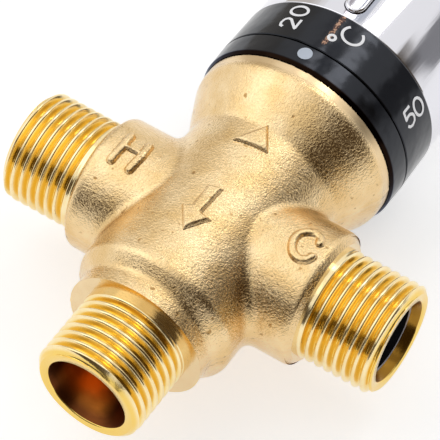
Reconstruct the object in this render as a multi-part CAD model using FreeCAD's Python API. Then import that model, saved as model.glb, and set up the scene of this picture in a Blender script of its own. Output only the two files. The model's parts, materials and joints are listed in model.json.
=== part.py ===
import FreeCAD, Part
import math
import os

# Three-port mixing valve with a G1/2 male thread on every port.
# +Y runs from the mixed outlet up the main axis to the knob, +X to the cold inlet,
# -X to the hot inlet, and +Z is the side that carries the flow marks.
# The origin is the centre of the outlet's end face. Millimetres and degrees throughout.

V = FreeCAD.Vector
ORIGIN = V(0, 0, 0)
X, Y, Z = V(1, 0, 0), V(0, 1, 0), V(0, 0, 1)

# ---------------------------------------------------------------- clearances
press_gap = 0.03       # pieces pushed or screwed together inside one body
seat_gap = 0.05        # springs against the faces that hold them, and splines on their flanks
running_gap = 0.06     # shafts and sliders in their bores
groove_gap = 0.15      # either side of a ring in its groove
free_gap = 0.3         # neighbours that move past each other
soft_edge = 0.3        # small rounding of turned and moulded edges
over = 1.0             # cutters pass this far beyond what they cut

# ---------------------------------------------------------------- forged body
outlet_reach = 38.75   # outlet end face to the crossing of the two port axes
inlet_reach = 37.9     # inlet end faces to the main axis
thread_r = 10.4        # crest radius of the G1/2 male threads
thread_length = 14.6   # end face to the machined shoulder, the same on each port
port_wall = 2.7        # thread crest to waterway
collar_step = 2.8      # collar behind the outlet thread
collar_edge = 0.25
arm_step = 2.3         # round arms of the two inlets
arm_edge_r = 1.6       # rounding of the arms' outer edges
trunk_r = 15.4         # main barrel
trunk_foot = 18.4      # crossing down to the barrel's lower corner
neck_height = 2.5      # slope from that corner down to the collar
neck_round = 1.5
foot_round = 2.2
bell_r = 19.6          # rim of the bell
bell_height = 27.1     # crossing up to the rim
bell_flare = 11.4      # length of the bell below the rim
bell_slope = 3.9       # steep first part of the bell
bell_step = 2.2        # waist inside the rim
bell_land = 2.6        # plain band under the rim
bell_foot_round = 2.4
bell_waist_round = 4.0
bell_rim_round = 5.0
joint_fillet = 2.0     # where the arms meet the barrel
joint_share = 0.95     # most of the room beside the arms that the fillet may take

bore_r = thread_r - port_wall
collar_r = thread_r + collar_step
arm_r = thread_r + arm_step
crossing = outlet_reach
rim = crossing + bell_height
bell_waist = rim - bell_flare + bell_slope
bell_foot = rim - bell_flare
barrel_foot = crossing - trunk_foot

# ---------------------------------------------------------------- cast marks
mark_height = 0.5      # above the wall that carries them
mark_root = 1.0        # below its surface
letter_height = 6.4
letter_stroke = 1.3
letter_width = 5.2     # over the uprights of the H
mouth_slope = 0.8      # how far the mouth of the C opens
hot_inset = 6.2        # end of the arm in to the middle of the H
cold_inset = 5.1       # and to the middle of the C
arrow_shaft = 2.6      # its tail lies on the line of the inlets
arrow_head = 5.8
arrow_barbs = 6.2      # tail to the barbs
arrow_length = 10.6
triangle_width = 6.4   # its tip touches the foot of the bell
triangle_height = 5.3

# ---------------------------------------------------------------- check valves
check_recess = 1.9     # inlet end face in to the check valve
check_length = 13.5
check_wall = 1.5
check_step = 0.9       # shoulder that the check valve stops against
check_lead = 0.8       # taper at the mouth
seat_depth = 3.0       # mouth in to the valve seat
seat_land = 1.2        # thickness of the seat
throat_wall = 3.37     # housing's outside to the throat
check_seal_depth = 6.5
check_wire_r = 0.49
poppet_lap = 0.9       # poppet over the throat
poppet_rim = 0.9       # front of the poppet back to its rim's edge
poppet_cone = 1.6      # and to the foot of its cone
poppet_head = 2.2      # and to the plain stem
stem_r = 1.2
guide_width = 1.6
guide_wall = 1.0
guide_spoke = 0.6      # half width
check_coil_r = 0.28
check_coil_step = 1.2  # stem to the middle of the spring's wire
poppet_tail = 0.4      # guide's face to the end of the stem

# ---------------------------------------------------------------- cartridge
chamber_wall = 2.8     # barrel round the cartridge
floor_wall = 3.9       # barrel's lower corner up to the chamber's floor
floor_cone = 3.0
land_width = 3.6       # seal lands of the sleeve
land_pitch = 9.6       # middle land to the outer lands
window_half = 6.0      # openings from the inlets into the chamber
window_margin = 0.2
annulus_depth = 1.9    # sleeve between its lands
sleeve_wall = 4.0
sleeve_top = 13.4      # crossing up to the sleeve's top end
sleeve_port_r = 1.35
sleeve_ports = 10
seal_wire_r = 0.8      # section radius of the large O-rings
seat_wall = 2.5        # hot and cold seat rings
seat_lip = 0.8
seat_rise = 0.6
seat_height = 2.4
shuttle_half = 4.3     # crossing to either sealing edge of the shuttle
shuttle_band = 1.8     # half width of the band that runs in the sleeve
shuttle_skirt = 1.2    # depth of the skirts inside that band
shuttle_edge = 0.4
shuttle_wire_r = 0.52
hub_half = 1.4
hub_wall = 1.0
hub_spoke = 0.8        # half width
hot_gap = 0.85         # opening between shuttle and hot seat, as stored
cold_gap = 1.6         # opening between shuttle and cold seat, as stored
bulb_r = 3.3           # wax element's cup
bulb_length = 13.0
bulb_flange = 0.9
stem_step = 0.6        # steps of the element's and the poppets' stems
piston_r = 1.2
stem_top = 4.6         # crossing up to the end of the element's stem
piston_foot = 3.0      # crossing up to the piston's lower end
seat_plate = 1.6       # spring seat's thickness
seat_spoke = 1.1       # half width
return_wire_r = 0.5

chamber_r = trunk_r - chamber_wall
chamber_floor = barrel_foot + floor_wall
sleeve_bore_r = chamber_r - sleeve_wall
land_r = chamber_r - press_gap
seal_mid_r = chamber_r - seal_wire_r - 0.02
groove_r = seal_mid_r - seal_wire_r - 0.02
seal_groove = 2 * (seal_wire_r + groove_gap)

# ---------------------------------------------------------------- adjuster and bonnet
carriage_wall = 4.2    # chamber to the adjuster that slides in the bonnet
carriage_foot = 10.2   # crossing up to its lower end
carriage_length = 13.2
thrust_rise = 1.2      # its lower end up to the thrust cup
cup_wall = 2.0
cup_boss = 3.0
cup_flange = 0.9
cup_height = 1.9
clip_wire = 0.5
clip_depth = 0.6
clip_reach = 1.1
clip_slot = 1.0        # half width of a clip's opening
web_rise = 5.4
web_thickness = 1.0
web_lip = 1.4
overload_wire_r = 0.55
overload_clear = 1.15
key_width = 3.0        # the two keys that stop the carriage from turning
key_height = 1.9
key_rise = 6.0
key_gap = 0.12
spindle_r = 5.0
spindle_lead = 6.0     # axial travel of the carriage per turn of the knob
shoulder_step = 1.6    # thrust shoulder of the spindle
shoulder_height = 2.2
roof_gap = 0.8
bonnet_wall = 4.0      # rim of the bell round the bonnet
bonnet_sink = 6.6      # rim down to the step that the bonnet screws down on
bonnet_rise = 3.9      # rim up to the bonnet's shoulder
neck_step = 3.8        # bonnet's neck inside the knob's stop rib
neck_length = 6.4
spindle_seal_rise = 1.0
spindle_wire_r = 0.53
spindle_groove = 1.05
spindle_clip_r = 7.0
spindle_clip_width = 0.7
spline_gap = 2.2       # neck up to the splines
spline_teeth = 20
spline_depth = 0.5
spline_step = 0.3      # splines inside the spindle's radius
screw_hole_r = 1.7
screw_depth = 11.0

carriage_r = chamber_r - carriage_wall
cup_r = carriage_r - cup_wall
bonnet_r = bell_r - bonnet_wall
bonnet_seat = rim - bonnet_sink
shoulder = rim + bonnet_rise
neck_top = shoulder + neck_length
bonnet_foot = crossing + sleeve_top + 0.1

# ---------------------------------------------------------------- rings and knob
index_height = 4.95    # rim up to the line between the fixed and turning rings
ring_step = 0.65       # rings outside the rim
ring_bevel = 0.9
ring_edge = 0.15
scale_height = 9.4     # that line up to the line between scale ring and knob
knob_length = 30.05
knob_step = 0.35       # knob inside the rings
knob_bulge = 0.15
knob_bulge_rise = 14.0
knob_top_round = 3.0
knob_wall = 4.2
knob_roof = 3.4
knob_edge = 0.25
skirt_step = 1.9       # knob's skirt inside the scale ring
well_wall = 2.0        # screw well in the top of the knob
well_depth = 14.9
well_plate = 2.0
screw_gap = 0.6
hub_depth = 9.7        # knob's outside in to the hub
hub_drop = 1.45        # hub below the knob's lower edge
bush_r = 7.2
bush_lift = 0.2
bush_drop = 3.1        # bush's top below the screw plate
spindle_drop = 2.6     # spindle's top below it
rib_depth = 2.9        # stop rib standing in from the knob's cavity
rib_half = 6.0         # degrees
rib_angle = 180.0
rib_rise = 5.45
collar_wall = 1.4      # stop collar outside the rib's inner edge
collar_drop = 0.8
stop_slack = 0.5       # degrees
turn_hot = 64.1        # knob travel from the stored setting to the hot stop
turn_cold = 19.3       # and to the cold stop
web_half = 0.8
web_foot = 4.55        # knob's lower edge up to its inner webs
cap_plate = 1.6
cap_wall = 1.4
cap_depth = 5.0
cap_crown = 0.3
screw_r = 1.65
screw_length = 12.0
screw_head_r = 3.6
screw_head = 1.6
screw_crown = 1.0
screw_slot = 0.5       # half width
button_width = 3.9
button_length = 14.0
button_rise = 1.45     # knob's lower edge up to the button
button_angle = 1.0     # round the knob from the marks side towards the cold inlet
button_gap = 0.1
button_proud = 0.75
button_depth = 5.5     # knob's outside in to the button's flange
button_flange = 0.9
button_lip = 1.0
button_pad = 2.6       # half width of the hub's seat for the button's spring
spigot_r = 1.0
spigot_length = 1.5
button_wire_r = 0.25
button_coil_gap = 0.3  # spigot to the inside of the button's spring

ring_joint = rim + index_height
scale_top = ring_joint + scale_height
knob_top = scale_top + knob_length
ring_r = bell_r + ring_step
knob_r = ring_r - knob_step
skirt_r = knob_r - skirt_step
cavity_r = knob_r - knob_wall
hub_r = knob_r - hub_depth
well_r = hub_r - well_wall
well_floor = knob_top - well_depth
screw_plate = well_floor - well_plate
hub_foot = scale_top - hub_drop
skirt_foot = ring_joint + 0.5
rib_r = cavity_r - rib_depth
neck_r = rib_r - neck_step
button_middle = scale_top + button_rise + button_length / 2
flange_r = knob_r - button_depth

os.makedirs("parts", exist_ok=True)


def save(name, shape):
    solids = shape.Solids
    whole = solids[0] if len(solids) == 1 else Part.makeCompound(solids)
    whole.exportStep(f"parts/{name}.step")
    print(f"{name}: {len(solids)} solid, {whole.Volume:.1f} mm3, valid {whole.isValid()}")


def outline(corners):
    """Closed wire in the XY plane through (x, y, rounding radius) corners."""
    edges, ends = [], []
    count = len(corners)
    for i, (x, y, radius) in enumerate(corners):
        here = V(x, y, 0)
        back = V(*corners[i - 1][:2], 0) - here
        on = V(*corners[(i + 1) % count][:2], 0) - here
        if radius <= 0:
            ends.append((here, None, here))
            continue
        back.normalize()
        on.normalize()
        half = back.getAngle(on) / 2
        reach = radius / math.tan(half)
        bisector = back + on
        bisector.normalize()
        middle = here + bisector * (radius / math.sin(half) - radius)
        ends.append((here + back * reach, middle, here + on * reach))
    for i, (start, middle, end) in enumerate(ends):
        if middle is not None:
            edges.append(Part.Arc(start, middle, end).toShape())
        following = ends[(i + 1) % count][0]
        if end.distanceToPoint(following) > 1e-6:
            edges.append(Part.LineSegment(end, following).toShape())
    return Part.Wire(edges)


def turned(*corners):
    """Solid turned about Y from (radius, y) or (radius, y, rounding) corners."""
    full = [(c[0], c[1], c[2] if len(c) > 2 else 0) for c in corners]
    return Part.Face(outline(full)).revolve(ORIGIN, Y, 360)


def rod(radius, start, end):
    return Part.makeCylinder(radius, end - start, V(0, start, 0), Y)


def tube(outer, inner, start, end):
    return rod(outer, start, end).cut(rod(inner, start - over, end + over))


def pin(radius, y, low, high):
    """Round bar standing out along +Z from the main axis."""
    return Part.makeCylinder(radius, high - low, V(0, y, low), Z)


def block(x0, x1, y0, y1, z0, z1):
    return Part.makeBox(x1 - x0, y1 - y0, z1 - z0, V(x0, y0, z0))


def around(shape, angle, centre=ORIGIN, axis=Y):
    copy = shape.copy()
    copy.rotate(centre, axis, angle)
    return copy


def ring_of(shape, count, start=0.0):
    return [around(shape, start + 360.0 * i / count) for i in range(count)]


def sector(outer, inner, start, end, from_angle, to_angle):
    """Part of a tube about Y between two angles, counted from +Z towards +X."""
    wedge = Part.Face(outline([(inner, start, 0), (outer, start, 0), (outer, end, 0), (inner, end, 0)]))
    return wedge.revolve(ORIGIN, Y, to_angle - from_angle).rotated(ORIGIN, Y, from_angle - 90)


def to_port(shape, side):
    """Take a piece made along +Y from the main axis to the inlet on that side (+1 or -1)."""
    copy = around(shape, -90 * side, ORIGIN, Z)
    copy.translate(V(0, crossing, 0))
    return copy


def o_ring(mid_r, wire_r, y):
    return Part.makeTorus(mid_r, wire_r, V(0, y, 0), Y)


def groove(outer, bottom, y, width):
    return tube(outer + over, bottom, y - width / 2, y + width / 2)


def flat_face(points):
    return Part.Face(Part.makePolygon(points + points[:1]))


def coil(mid_r, wire_r, start, end, turns):
    """Compression spring about Y between two planes: a helix of short straight lengths of wire."""
    steps, sides = 14, 6
    rise = (end - start - 2 * wire_r) / turns
    rings = []
    for i in range(int(turns * steps) + 1):
        turn = i / steps
        a = 2 * math.pi * turn
        ring = []
        for k in range(sides):
            b = 2 * math.pi * k / sides
            radius = mid_r + wire_r * math.cos(b)
            height = start + wire_r + rise * turn + wire_r * math.sin(b)
            ring.append(V(radius * math.sin(a), height, radius * math.cos(a)))
        rings.append(ring)
    faces = [flat_face(rings[0]), flat_face(rings[-1])]
    for here, there in zip(rings, rings[1:]):
        for k in range(sides):
            j = (k + 1) % sides
            faces.append(flat_face([here[k], here[j], there[k]]))
            faces.append(flat_face([here[j], there[j], there[k]]))
    spring = Part.Solid(Part.Shell(faces))
    if spring.Volume < 0:
        spring.reverse()
    return spring


def splines(root_r, tip_r, teeth, start, end):
    """Straight splined bar about Y: each tooth has a flat tip and two sloping flanks."""
    step = 2 * math.pi / teeth
    points = []
    for i in range(teeth):
        for share, radius in ((-0.32, root_r), (-0.14, tip_r), (0.14, tip_r), (0.32, root_r)):
            a = (i + share) * step
            points.append(V(radius * math.sin(a), start, radius * math.cos(a)))
    return flat_face(points).extrude(V(0, end - start, 0))


# ================================================================ valve body
def inlet_arm():
    """Threaded stub and the arm behind it, turned about Y, from the main axis to the end face."""
    step = inlet_reach - thread_length
    return turned((0, 0), (arm_r, 0), (arm_r, step, arm_edge_r), (thread_r, step),
                  (thread_r, inlet_reach), (0, inlet_reach))


def barrel():
    return turned(
        (0, 0), (thread_r, 0), (thread_r, thread_length), (collar_r, thread_length, collar_edge),
        (collar_r, barrel_foot - neck_height, neck_round), (trunk_r, barrel_foot, foot_round),
        (trunk_r, bell_foot, bell_foot_round), (bell_r - bell_step, bell_waist, bell_waist_round),
        (bell_r, rim - bell_land, bell_rim_round), (bell_r, rim), (0, rim))


def upright(*corners):
    """Prism through the top wall on a flat outline of (x, height over the crossing) corners."""
    return flat_face([V(x, crossing + y, 0) for x, y in corners]).extrude(V(0, 0, trunk_r + over))


def barrel_marks():
    """Arrow that points to the outlet, and the triangle below the dial's index."""
    shaft, barb, foot = arrow_shaft / 2, arrow_head / 2, triangle_width / 2
    tip = bell_foot - crossing
    arrow = upright((-shaft, 0), (shaft, 0), (shaft, -arrow_barbs), (barb, -arrow_barbs),
                    (0, -arrow_length), (-barb, -arrow_barbs), (-shaft, -arrow_barbs))
    triangle = upright((-foot, tip - triangle_height), (foot, tip - triangle_height), (0, tip))
    skin = tube(trunk_r + mark_height, trunk_r - mark_root, barrel_foot, bell_foot)
    return [skin.common(mark) for mark in (arrow, triangle)]


def letters():
    """H on the hot arm and C on the cold one, upright when the knob is at the top."""
    arm_end = inlet_reach - thread_length
    hot, cold = hot_inset - arm_end, arm_end - cold_inset
    tall, half, wide = letter_height / 2, letter_stroke / 2, letter_width / 2
    left, right, bar = (upright((x0, -high), (x1, -high), (x1, high), (x0, high)) for x0, x1, high in (
        (hot - wide, hot - wide + letter_stroke, tall), (hot + wide - letter_stroke, hot + wide, tall),
        (hot - wide + half, hot + wide - half, half)))
    middle = V(cold, crossing, 0)
    bow = Part.makeCylinder(tall, trunk_r, middle)
    bow = bow.cut(Part.makeCylinder(tall - letter_stroke, trunk_r, middle))
    mouth = mouth_slope * letter_height
    bow = bow.cut(upright((cold, 0), (cold + letter_height, -mouth), (cold + letter_height, mouth)))
    skin = tube(arm_r + mark_height, arm_r - mark_root, arm_r, arm_end - arm_edge_r)
    letter_h = to_port(skin, -1).common(left.fuse([right, bar]).removeSplitter())
    return [letter_h, to_port(skin, 1).common(bow)]


def chamber():
    """Everything turned out along the main axis: outlet bore, cartridge bore and counterbore."""
    return turned(
        (0, -over), (bore_r, -over), (bore_r, chamber_floor - floor_cone),
        (bore_r + floor_cone, chamber_floor), (chamber_r, chamber_floor), (chamber_r, bonnet_seat),
        (bonnet_r, bonnet_seat), (bonnet_r, rim + over), (0, rim + over))


def inlet_bore():
    start = chamber_r + annulus_depth
    return turned((0, start), (bore_r - check_step, start), (bore_r - check_step, check_foot),
                  (bore_r, check_foot), (bore_r, inlet_reach + over), (0, inlet_reach + over))


def inlet_window(side):
    """Opening from the chamber into an inlet, between two of the sleeve's lands."""
    height = land_pitch - land_width - 2 * window_margin
    low = land_width / 2 + window_margin
    window = block(0, chamber_r + annulus_depth + over, 0, height, -window_half, window_half)
    if side < 0:
        window = around(window, 180)
        low = -low - height
    window.translate(V(0, crossing + low, 0))
    return window


def valve_body():
    arms = [to_port(inlet_arm(), side) for side in (1, -1)]
    body = barrel().fuse(arms).removeSplitter()
    joints = [e for e in body.Edges
              if type(e.Curve).__name__ == "BSplineCurve" and e.Length > arm_r]
    bell_turn = math.atan2(bell_r - bell_step - trunk_r, bell_slope)
    room = bell_foot - crossing - arm_r - bell_foot_round * math.tan(bell_turn / 2)
    body = body.makeFillet(min(joint_fillet, joint_share * room), joints)
    body = body.fuse(barrel_marks() + letters())
    bores = [to_port(inlet_bore(), side) for side in (1, -1)]
    return body.cut([chamber(), inlet_window(1), inlet_window(-1)] + bores)


# ================================================================ check valves
check_mouth = inlet_reach - check_recess
check_foot = check_mouth - check_length
check_r = bore_r - press_gap
check_bore_r = check_r - check_wall
throat_r = check_r - throat_wall
seat_front = check_mouth - seat_depth
seat_back = seat_front - seat_land
poppet_front = seat_back - running_gap
check_groove = check_mouth - check_seal_depth
guide_top = check_foot + guide_width


def check_housing():
    shell = turned(
        (check_bore_r, check_mouth), (check_r - check_lead / 2, check_mouth, soft_edge),
        (check_r, check_mouth - check_lead), (check_r, check_foot), (check_bore_r, check_foot),
        (check_bore_r, seat_back), (throat_r, seat_back), (throat_r, seat_front),
        (check_bore_r, seat_front + check_step))
    depth = 2 * check_wire_r + press_gap
    return shell.cut(groove(check_r, check_r - depth, check_groove, 2 * (check_wire_r + groove_gap)))


def check_seal():
    return o_ring(check_r - check_wire_r - press_gap / 3, check_wire_r, check_groove)


def check_poppet():
    outer, foot = throat_r + poppet_lap, check_foot + poppet_tail
    return turned((0, poppet_front), (outer, poppet_front), (outer, poppet_front - poppet_rim, soft_edge),
                  (stem_r + stem_step, poppet_front - poppet_cone), (stem_r, poppet_front - poppet_head),
                  (stem_r, foot), (0, foot))


def check_guide():
    rim_r = check_bore_r - press_gap
    ring = tube(rim_r, rim_r - guide_wall, check_foot, guide_top)
    hub = rod(stem_r + guide_wall, check_foot, guide_top)
    spoke = block(-guide_spoke, guide_spoke, check_foot, guide_top, 0, rim_r - guide_wall / 2)
    whole = ring.fuse([hub] + ring_of(spoke, 3))
    return whole.cut(rod(stem_r + running_gap, check_foot - over, guide_top + over))


def check_spring():
    top = poppet_front - poppet_cone - seat_gap
    return coil(stem_r + check_coil_step, check_coil_r, guide_top + seat_gap, top, 4)


# ================================================================ cartridge
hot_seat = crossing - shuttle_half - hot_gap
cold_seat = crossing + shuttle_half + cold_gap
seat_bore_r = sleeve_bore_r - seat_wall
shuttle_r = sleeve_bore_r - running_gap
skirt_out_r = sleeve_bore_r - shuttle_skirt
hub_low, hub_high = crossing - hub_half, crossing + hub_half
plate_top = chamber_floor + seat_plate
element_stem_r = bulb_r - stem_step
return_coil_r = (bulb_r + seat_bore_r) / 2


def cartridge_sleeve():
    top = crossing + sleeve_top
    sleeve = rod(land_r, chamber_floor, top).cut(rod(sleeve_bore_r, chamber_floor - over, top + over))
    cuts = []
    for side in (-1, 1):
        middle = crossing + side * land_pitch / 2
        port = pin(sleeve_port_r, crossing + side * (shuttle_half - shuttle_edge), 0, land_r + over)
        cuts += [groove(land_r, chamber_r - annulus_depth, middle, land_pitch - land_width)]
        cuts += ring_of(port, sleeve_ports)
    for step in (-1, 0, 1):
        cuts.append(groove(land_r, groove_r, crossing + step * land_pitch, seal_groove))
    return sleeve.cut(cuts)


def spring_seat():
    """Lower guide of the wax element, with three windows for the mixed water."""
    low, high = chamber_floor - over, plate_top + over
    plate = rod(sleeve_bore_r - press_gap, chamber_floor, plate_top)
    slot_inner = return_coil_r + return_wire_r + free_gap
    slot = tube(sleeve_bore_r - seat_spoke, slot_inner, low, high)
    spoke = block(-seat_spoke, seat_spoke, low - over, high + over, 0, sleeve_bore_r + over)
    return plate.cut([rod(bulb_r + free_gap, low, high), slot.cut(ring_of(spoke, 3))])


def seat_ring(lip_y, side):
    """Ring pressed in the sleeve whose lip faces the shuttle; side is +1 for the cold seat."""
    outer, lip_r = sleeve_bore_r - press_gap, seat_bore_r + seat_lip
    step, base = lip_y + side * seat_rise, lip_y + side * seat_height
    return turned((seat_bore_r, lip_y), (lip_r, lip_y), (lip_r + seat_rise, step),
                  (outer, step), (outer, base), (seat_bore_r, base))


def shuttle():
    low, high = crossing - shuttle_half, crossing + shuttle_half
    band_low, band_high = crossing - shuttle_band, crossing + shuttle_band
    shell = turned(
        (seat_bore_r, low), (skirt_out_r - shuttle_edge, low), (skirt_out_r, low + shuttle_edge),
        (skirt_out_r, band_low, soft_edge), (shuttle_r, band_low), (shuttle_r, band_high),
        (skirt_out_r, band_high, soft_edge), (skirt_out_r, high - shuttle_edge),
        (skirt_out_r - shuttle_edge, high), (seat_bore_r, high))
    depth = 2 * (shuttle_wire_r + press_gap)
    shell = shell.cut(groove(shuttle_r, shuttle_r - depth, crossing, 2 * (shuttle_wire_r + groove_gap)))
    hub = rod(bulb_r + hub_wall, hub_low, hub_high)
    spoke = block(-hub_spoke, hub_spoke, hub_low, hub_high, 0, seat_bore_r + shuttle_edge)
    whole = shell.fuse([hub] + ring_of(spoke, 4))
    return whole.cut(rod(element_stem_r + press_gap, hub_low - over, hub_high + over))


def shuttle_seal():
    return o_ring(sleeve_bore_r - shuttle_wire_r - press_gap, shuttle_wire_r, crossing)


def wax_element():
    """Copper cup hanging in the mixed water, its stem pushed through the shuttle's hub."""
    foot, flange = hub_low - bulb_length, hub_low - seat_land
    flange_out_r, top = bulb_r + bulb_flange, crossing + stem_top
    cup = turned((0, foot), (bulb_r, foot, seat_rise), (bulb_r, flange), (flange_out_r, flange),
                 (flange_out_r, hub_low), (element_stem_r, hub_low), (element_stem_r, top - stem_step),
                 (element_stem_r - stem_step, top), (0, top))
    return cup.cut(rod(piston_r + running_gap, hub_high + window_margin, top + over))


def return_spring():
    return coil(return_coil_r, return_wire_r, plate_top + seat_gap, hub_low - seat_land - seat_gap, 5)


# ================================================================ adjuster
carriage_low = crossing + carriage_foot
carriage_high = carriage_low + carriage_length
thrust_face = carriage_low + thrust_rise
clip_foot = thrust_face - clip_wire - press_gap
web_low = carriage_low + web_rise
web_high = web_low + web_thickness
travel_up = spindle_lead * turn_hot / 360
spindle_foot = web_high + travel_up + free_gap
boss_r = cup_r - cup_boss


def adjusting_carriage():
    bore = spindle_r + running_gap
    body = turned((cup_r, carriage_low), (carriage_r, carriage_low, soft_edge), (carriage_r, carriage_high),
                  (bore, carriage_high), (bore, web_high), (spindle_r - web_lip, web_high),
                  (spindle_r - web_lip, web_low), (cup_r, web_low))
    key = block(-key_width / 2, key_width / 2, carriage_low + key_rise, carriage_high - over,
                carriage_r - clip_depth, carriage_r + key_height)
    body = body.fuse(ring_of(key, 2, 90)).removeSplitter()
    return body.cut(rod(cup_r + clip_depth, clip_foot - press_gap, clip_foot + clip_wire + press_gap))


def carriage_clip():
    clip = tube(cup_r + clip_depth - press_gap, cup_r - clip_reach, clip_foot, clip_foot + clip_wire)
    low, high = clip_foot - over, clip_foot + clip_wire + over
    return clip.cut(block(-clip_slot, clip_slot, low, high, 0, carriage_r))


def thrust_cup():
    outer, step, top = cup_r - running_gap, thrust_face + cup_flange, thrust_face + cup_height
    return turned((0, thrust_face), (outer, thrust_face), (outer, step), (boss_r, step), (boss_r, top),
                  (0, top))


def adjuster_piston():
    return rod(piston_r, crossing + piston_foot, thrust_face)


def overload_spring():
    mid_r = cup_r - overload_clear - overload_wire_r
    return coil(mid_r, overload_wire_r, thrust_face + cup_flange + seat_gap, web_low - seat_gap, 2)


# ================================================================ bonnet and spindle
cavity_roof = carriage_high + travel_up + roof_gap
shoulder_r = spindle_r + shoulder_step
shoulder_top = cavity_roof + shoulder_height
bonnet_seal_y = (bonnet_foot + bonnet_seat) / 2
spindle_seal_y = shoulder + spindle_seal_rise
clip_low = neck_top + groove_gap
spline_r = spindle_r - spline_step
spline_root_r = spline_r - spline_depth
clip_root_r = spindle_r - spline_depth - groove_gap
spline_foot = neck_top + spline_gap
spindle_top = screw_plate - spindle_drop


def bonnet():
    outer_r, inner_r = bonnet_r - press_gap, chamber_r - press_gap
    body = turned((0, bonnet_foot), (inner_r, bonnet_foot), (inner_r, bonnet_seat), (outer_r, bonnet_seat),
                  (outer_r, shoulder, soft_edge), (neck_r, shoulder), (neck_r, neck_top, soft_edge),
                  (0, neck_top))
    low, high = bonnet_foot - over, neck_top + over
    wide, thrust, narrow = carriage_r + free_gap, shoulder_r + running_gap, spindle_r + running_gap
    cavity = turned((0, low), (wide, low), (wide, cavity_roof), (thrust, cavity_roof),
                    (thrust, shoulder_top), (narrow, shoulder_top), (narrow, high), (0, high))
    half = key_width / 2 + key_gap
    keyway = block(-half, half, low, cavity_roof, 0, carriage_r + key_height + free_gap)
    seal_cut = groove(chamber_r, groove_r, bonnet_seal_y, seal_groove)
    return body.cut([cavity, seal_cut] + ring_of(keyway, 2, 90))


def spindle():
    low, high = cavity_roof + groove_gap, shoulder_top - running_gap
    bar = turned(
        (0, spindle_foot), (spindle_r - spline_depth, spindle_foot), (spindle_r, spindle_foot + spline_depth),
        (spindle_r, low), (shoulder_r, low), (shoulder_r, high), (spindle_r, high),
        (spindle_r, spline_foot - stem_step), (spline_root_r, spline_foot), (0, spline_foot))
    bar = bar.fuse(splines(spline_root_r, spline_r, spline_teeth, spline_foot - bush_lift, spindle_top))
    clip_middle = clip_low + spindle_clip_width / 2
    clip_cut = groove(spindle_r, clip_root_r, clip_middle, spindle_clip_width + bush_lift)
    seal_width = 2 * (spindle_wire_r + groove_gap)
    seal_cut = groove(spindle_r, spindle_r - spindle_groove, spindle_seal_y, seal_width)
    screw_hole = rod(screw_hole_r, spindle_top - screw_depth, spindle_top + over)
    return bar.cut([clip_cut, seal_cut, screw_hole])


def spindle_seal():
    return o_ring(spindle_r - spindle_groove + spindle_wire_r + press_gap / 2, spindle_wire_r, spindle_seal_y)


def spindle_clip():
    high = clip_low + spindle_clip_width
    clip = tube(spindle_clip_r, clip_root_r + press_gap, clip_low, high)
    return clip.cut(block(-clip_slot, clip_slot, clip_low - over, high + over, 0, spindle_clip_r + over))


# ================================================================ rings and stop
def index_ring():
    high, edge = ring_joint - free_gap / 2, ring_edge
    return turned((bonnet_r, rim), (bell_r, rim), (ring_r - edge, rim + ring_bevel, soft_edge),
                  (ring_r, high - edge), (ring_r - edge, high), (bonnet_r, high))


def scale_ring():
    low, edge = ring_joint + free_gap / 2, ring_edge
    inner = skirt_r + press_gap
    return turned(
        (inner, low), (ring_r - edge, low), (ring_r, low + edge),
        (ring_r - edge, scale_top - 2 * edge, edge), (ring_r - 2 * edge, scale_top), (inner, scale_top))


def stop_collar():
    low, high = shoulder, neck_top - collar_drop
    ring = tube(rib_r + collar_wall, neck_r + press_gap, low, high)
    reach = rib_half + stop_slack
    travel = sector(rib_r + collar_wall + over, rib_r - free_gap, low - over, high + over,
                    rib_angle - turn_hot - reach, rib_angle + turn_cold + reach)
    return ring.cut(travel)


# ================================================================ knob
spring_face = hub_r + free_gap


def button_prism(width, length, low_r, high_r):
    """Long rounded pad standing along the knob, pointing out from the main axis."""
    half, straight = width / 2, (length - width) / 2
    shaft = block(-half, half, button_middle - straight, button_middle + straight, low_r, high_r)
    ends = [pin(half, button_middle + side * straight, low_r, high_r) for side in (-1, 1)]
    return around(shaft.fuse(ends).removeSplitter(), button_angle)


def knob():
    roof = knob_top - knob_roof
    shell = turned(
        (cavity_r, skirt_foot), (skirt_r, skirt_foot), (skirt_r, scale_top), (knob_r, scale_top, knob_edge),
        (knob_r + knob_bulge, scale_top + knob_bulge_rise), (knob_r - knob_bulge, knob_top, knob_top_round),
        (well_r, knob_top, soft_edge), (well_r, well_floor), (screw_r + screw_gap, well_floor),
        (screw_r + screw_gap, screw_plate), (bush_r, screw_plate), (bush_r, hub_foot),
        (hub_r, hub_foot, soft_edge), (hub_r, roof), (cavity_r, roof))
    rib = sector(cavity_r + clip_depth, rib_r, skirt_foot, skirt_foot + rib_rise,
                 rib_angle - rib_half, rib_angle + rib_half)
    web = block(-web_half, web_half, scale_top + web_foot, roof + over, hub_r - spline_depth,
                cavity_r + clip_depth)
    pad = block(-button_pad, button_pad, button_middle - button_pad, button_middle + button_pad,
                hub_r - over, spring_face)
    shell = shell.fuse([rib, around(pad, button_angle)] + ring_of(web, 3, 60))
    width, length = button_width + 2 * button_gap, button_length + 2 * button_gap
    return shell.cut(button_prism(width, length, hub_r + 2 * over, knob_r + 3 * over))


def safety_button():
    stem = button_prism(button_width, button_length, flange_r, knob_r + 3 * over)
    width, length = button_width + 2 * button_lip, button_length + 2 * button_lip
    flange = button_prism(width, length, flange_r, flange_r + button_flange)
    face = rod(knob_r + button_proud, button_middle - length, button_middle + length)
    spigot = pin(spigot_r, button_middle, flange_r - spigot_length, flange_r + button_flange / 2)
    return stem.fuse(flange).common(face).fuse(around(spigot, button_angle)).removeSplitter()


def button_spring():
    low, high = spring_face + seat_gap, flange_r - seat_gap
    spring = coil(spigot_r + button_coil_gap + button_wire_r, button_wire_r, 0, high - low, 5)
    spring.rotate(ORIGIN, X, 90)
    spring.translate(V(0, button_middle, low))
    return around(spring, button_angle)


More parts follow.
